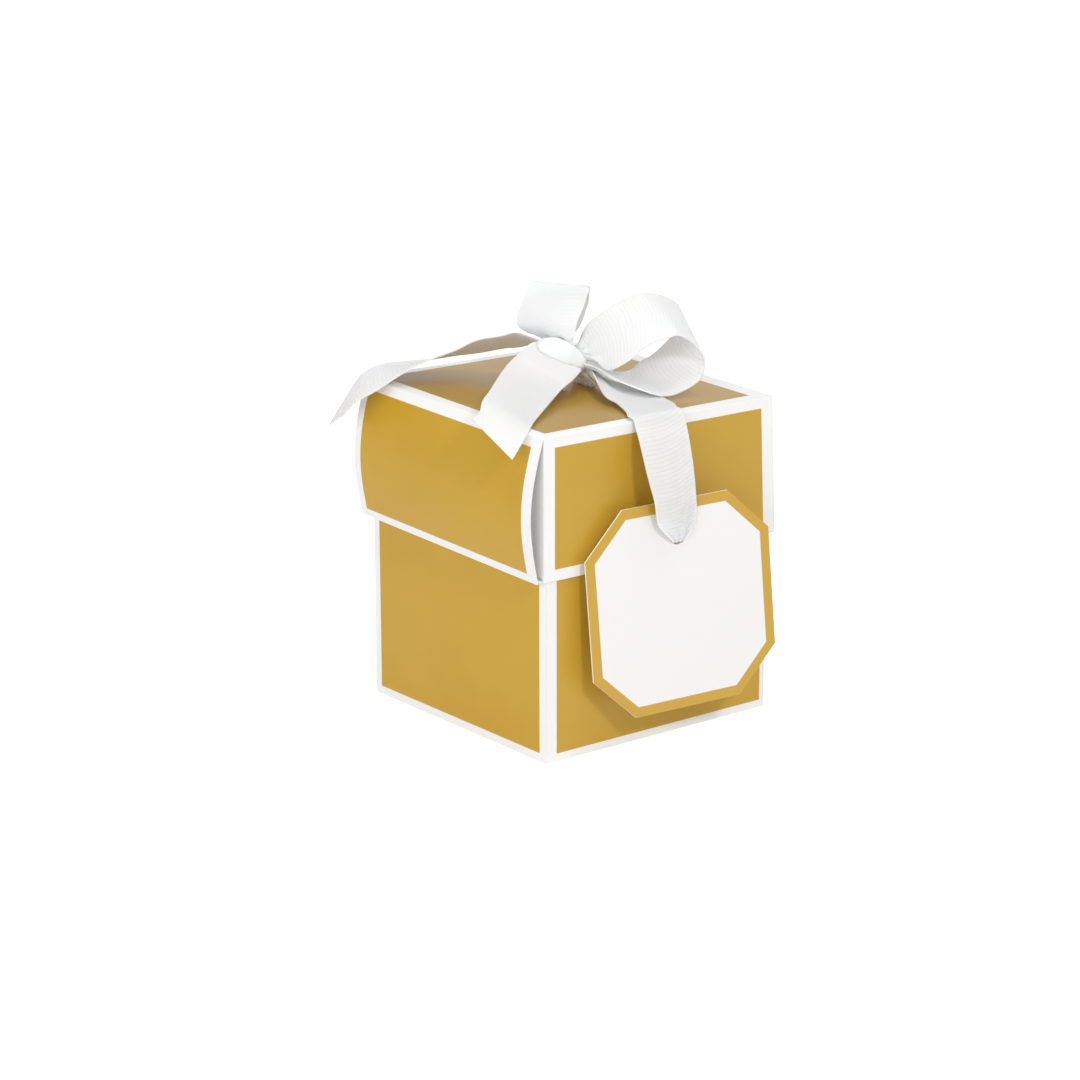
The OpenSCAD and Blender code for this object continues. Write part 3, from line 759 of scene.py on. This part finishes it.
def knot_mesh(
    name, centre, axis, length, radius, crown, material,
    creases=2.5, crease=0.22 * MM, slant=0.5, step=0.18 * MM
):
    """A band of ribbon wrapped round a knot: crowned, with creases that run a little askew."""
    rounds = 96
    across = 44
    axis = np.array(axis / axis.length)
    out = np.cross(axis, (0, 0, 1.0))
    out = out / np.linalg.norm(out)
    up = np.cross(out, axis)
    turn = np.linspace(0, 2 * math.pi, rounds, endpoint=False)[:, None]
    share = np.linspace(-1, 1, across + 1)[None, :]
    lip = np.sqrt(np.clip(1 - np.abs(share) ** 7, 0, 1))
    body = radius * (crown + (1 - crown) * np.cos(share * math.pi / 2))
    wave = np.sin(creases * math.pi * share + slant * np.sin(turn) + 0.9)
    wave = wave + 0.5 * np.sin(2.3 * creases * math.pi * share - 0.7 * np.sin(turn + 1.0))
    edge = step * np.sin(turn * 0.5 + 0.6) ** 8
    reach = (body - crease + crease * wave * np.cos(share * 1.3) - edge) * lip
    points = (
        np.array(centre)
        + axis * (share * length / 2)[..., None]
        + out * (reach * np.cos(turn))[..., None]
        + up * (reach * np.sin(turn))[..., None]
    )
    columns = across + 1
    faces = []
    for i in range(rounds):
        for j in range(across):
            a = i * columns + j
            b = ((i + 1) % rounds) * columns + j
            faces.append((a, b, b + 1, a + 1))
    mesh = bpy.data.meshes.new(name)
    mesh.from_pydata([tuple(p) for p in points.reshape(-1, 3)], [], faces)
    layer = mesh.uv_layers.new(name="UVMap")
    flat = []
    for i in range(rounds):
        for j in range(across):
            low_turn = i / rounds * 2 * math.pi * radius / MM
            high_turn = (i + 1) / rounds * 2 * math.pi * radius / MM
            side = (j / across - 0.5) * RIBBON_W / MM
            next_side = ((j + 1) / across - 0.5) * RIBBON_W / MM
            flat += [side, low_turn, side, high_turn, next_side, high_turn, next_side, low_turn]
    layer.data.foreach_set("uv", flat)
    mesh.materials.append(material)
    for polygon in mesh.polygons:
        polygon.use_smooth = True
    piece = bpy.data.objects.new(name, mesh)
    bpy.context.collection.objects.link(piece)
    weld = piece.modifiers.new("weld", "WELD")
    weld.merge_threshold = 0.002 * MM
    return piece


def make_knots(material, fold_shaded_material):
    turn = math.radians(KNOT_TURN)
    axis = Vector((math.cos(turn), math.sin(turn), 0))
    knot = knot_mesh("bow_knot_wrap", KNOT_CENTRE, axis, KNOT_LEN, KNOT_R, KNOT_CROWN, material)
    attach(knot, "lid")
    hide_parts("bow_knot")
    wrap = knot_mesh(
        "bow_knot_fold", KNOT_CENTRE + FOLD_PLACE, FOLD_AXIS, FOLD_LEN, FOLD_R, FOLD_CROWN, fold_shaded_material,
        creases=1.3, crease=0.16 * MM, slant=1.6, step=0
    )
    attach(wrap, "lid")
    stop_centre = (low("tag_ribbon_knot") + high("tag_ribbon_knot")) / 2
    stop_r = (high("tag_ribbon_knot").x - low("tag_ribbon_knot").x) / 2
    stop = knot_mesh(
        "tag_stop_knot", stop_centre, TAG_TURN @ Vector((1, 0, 0)), 2 * stop_r, stop_r, STOP_CROWN, material,
        creases=1.5, crease=0.1 * MM
    )
    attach(stop, "tag_strap")
    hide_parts("tag_ribbon_knot")


# How strongly the ribs and their painted groove shade show, from the hanging ribbon to the stretched one
# over the knot
RIBS_CRISP = 0.85
RIBS_CLEAR = 0.6
RIBS_SOFT = 0.22
RIBS_FAINT = 0.08


def make_ribbons():
    ribbed = ribbon_material("ribbon_ribbed", RIBS_CLEAR)
    soft = ribbon_material("ribbon_soft", RIBS_SOFT)
    # The knot's fold wears a greyer copy of the ribbon white: painted shade
    knot_shaded_white = ribbon_material("ribbon_smooth_shaded", RIBS_FAINT, RIBBON_KNOT_SHADED_WHITE)
    pieces = [
        ("ribbon_loop_right", LOOP_RIGHT, ribbed, "bow_loop_right", 0.9 * MM),
        ("ribbon_loop_back", LOOP_BACK, soft, "bow_loop_back", 0.9 * MM),
        ("ribbon_tail_left", TAIL_LEFT, ribbed, "bow_tail_left", 0.25 * MM),
        ("ribbon_tail_front", TAIL_FRONT, soft, "bow_tail_front", 0.2 * MM),
    ]
    for name, table, material, node, depth in pieces:
        piece, length = ribbon_piece(name, from_shares(table), material, pleat_depth=depth)
        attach(piece, "lid")
        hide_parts(node)
    stations, turn = tag_ribbon_stations()
    crisp = ribbon_material("ribbon_crisp", RIBS_CRISP)
    piece, length = ribbon_piece("ribbon_to_tag", stations, crisp, end_depth=0.1 * MM)
    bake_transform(piece)
    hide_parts("tag_ribbon_top", "tag_ribbon_drop")
    make_under_ribbon(ribbon_material("ribbon_shaded", RIBS_SOFT, RIBBON_SHADED))
    make_knots(ribbed, knot_shaded_white)


# Floor, world and lamps
FLOOR_REACH = 4.0
FLOOR_GREY = (0.86, 0.86, 0.86, 1)
FLOOR_GLOW = 0.65
PURE_WHITE = (1, 1, 1, 1)


def make_floor():
    graph = Graph("floor")
    ray = graph.node("ShaderNodeLightPath")
    matte = graph.node("ShaderNodeBsdfDiffuse")
    matte.inputs["Color"].default_value = FLOOR_GREY
    glow = graph.node("ShaderNodeEmission")
    glow.inputs["Color"].default_value = PURE_WHITE
    seen = graph.math("MAXIMUM", ray.outputs["Is Camera Ray"], ray.outputs["Is Glossy Ray"])
    graph.link(graph.math("MULTIPLY", seen, FLOOR_GLOW), glow.inputs["Strength"])
    both = graph.node("ShaderNodeAddShader")
    graph.link(matte.outputs[0], both.inputs[0])
    graph.link(glow.outputs[0], both.inputs[1])
    graph.link(both.outputs[0], graph.output.inputs["Surface"])
    corners = [(x * FLOOR_REACH, y * FLOOR_REACH, 0) for x, y in ((-1, -1), (1, -1), (1, 1), (-1, 1))]
    mesh = bpy.data.meshes.new("floor")
    mesh.from_pydata(corners, [], [(0, 1, 2, 3)])
    mesh.materials.append(graph.material)
    floor = bpy.data.objects.new("floor", mesh)
    bpy.context.collection.objects.link(floor)


WORLD_LIGHT = 0.545


def make_world():
    world = bpy.data.worlds.new("studio")
    world.use_nodes = True
    tree = world.node_tree
    tree.nodes.clear()
    output = tree.nodes.new("ShaderNodeOutputWorld")
    light = tree.nodes.new("ShaderNodeBackground")
    light.inputs["Color"].default_value = PURE_WHITE
    light.inputs["Strength"].default_value = WORLD_LIGHT
    white = tree.nodes.new("ShaderNodeBackground")
    white.inputs["Color"].default_value = PURE_WHITE
    white.inputs["Strength"].default_value = 1.0
    ray = tree.nodes.new("ShaderNodeLightPath")
    seen = tree.nodes.new("ShaderNodeMath")
    seen.operation = "MAXIMUM"
    tree.links.new(ray.outputs["Is Camera Ray"], seen.inputs[0])
    tree.links.new(ray.outputs["Is Glossy Ray"], seen.inputs[1])
    mix = tree.nodes.new("ShaderNodeMixShader")
    tree.links.new(seen.outputs[0], mix.inputs[0])
    tree.links.new(light.outputs[0], mix.inputs[1])
    tree.links.new(white.outputs[0], mix.inputs[2])
    tree.links.new(mix.outputs[0], output.inputs["Surface"])
    bpy.context.scene.world = world


def lamp(name, place, aim, size, power):
    """A soft rectangular lamp that points at aim."""
    data = bpy.data.lights.new(name, "AREA")
    data.shape = "RECTANGLE"
    data.size = size[0]
    data.size_y = size[1]
    data.energy = power
    light = bpy.data.objects.new(name, data)
    bpy.context.collection.objects.link(light)
    light.location = place
    light.rotation_euler = (Vector(aim) - Vector(place)).to_track_quat("-Z", "Y").to_euler()


LAMP_AIM = (0, 0, 40 * MM)
# Name, place, size and watts
LAMPS = [
    ("key", (-0.2, -0.85, 0.64), (0.11, 0.11), 2.5),
    ("fill", (-0.95, -0.35, 0.35), (0.7, 0.6), 3.1),
    ("overhead", (0.1, -0.2, 1.1), (0.35, 0.35), 2.0),
]


dress_box()
dress_tag()
make_ribbons()
make_floor()
make_world()
for name, place, size, power in LAMPS:
    lamp(name, place, LAMP_AIM, size, power)
bpy.context.scene.view_settings.view_transform = "Standard"
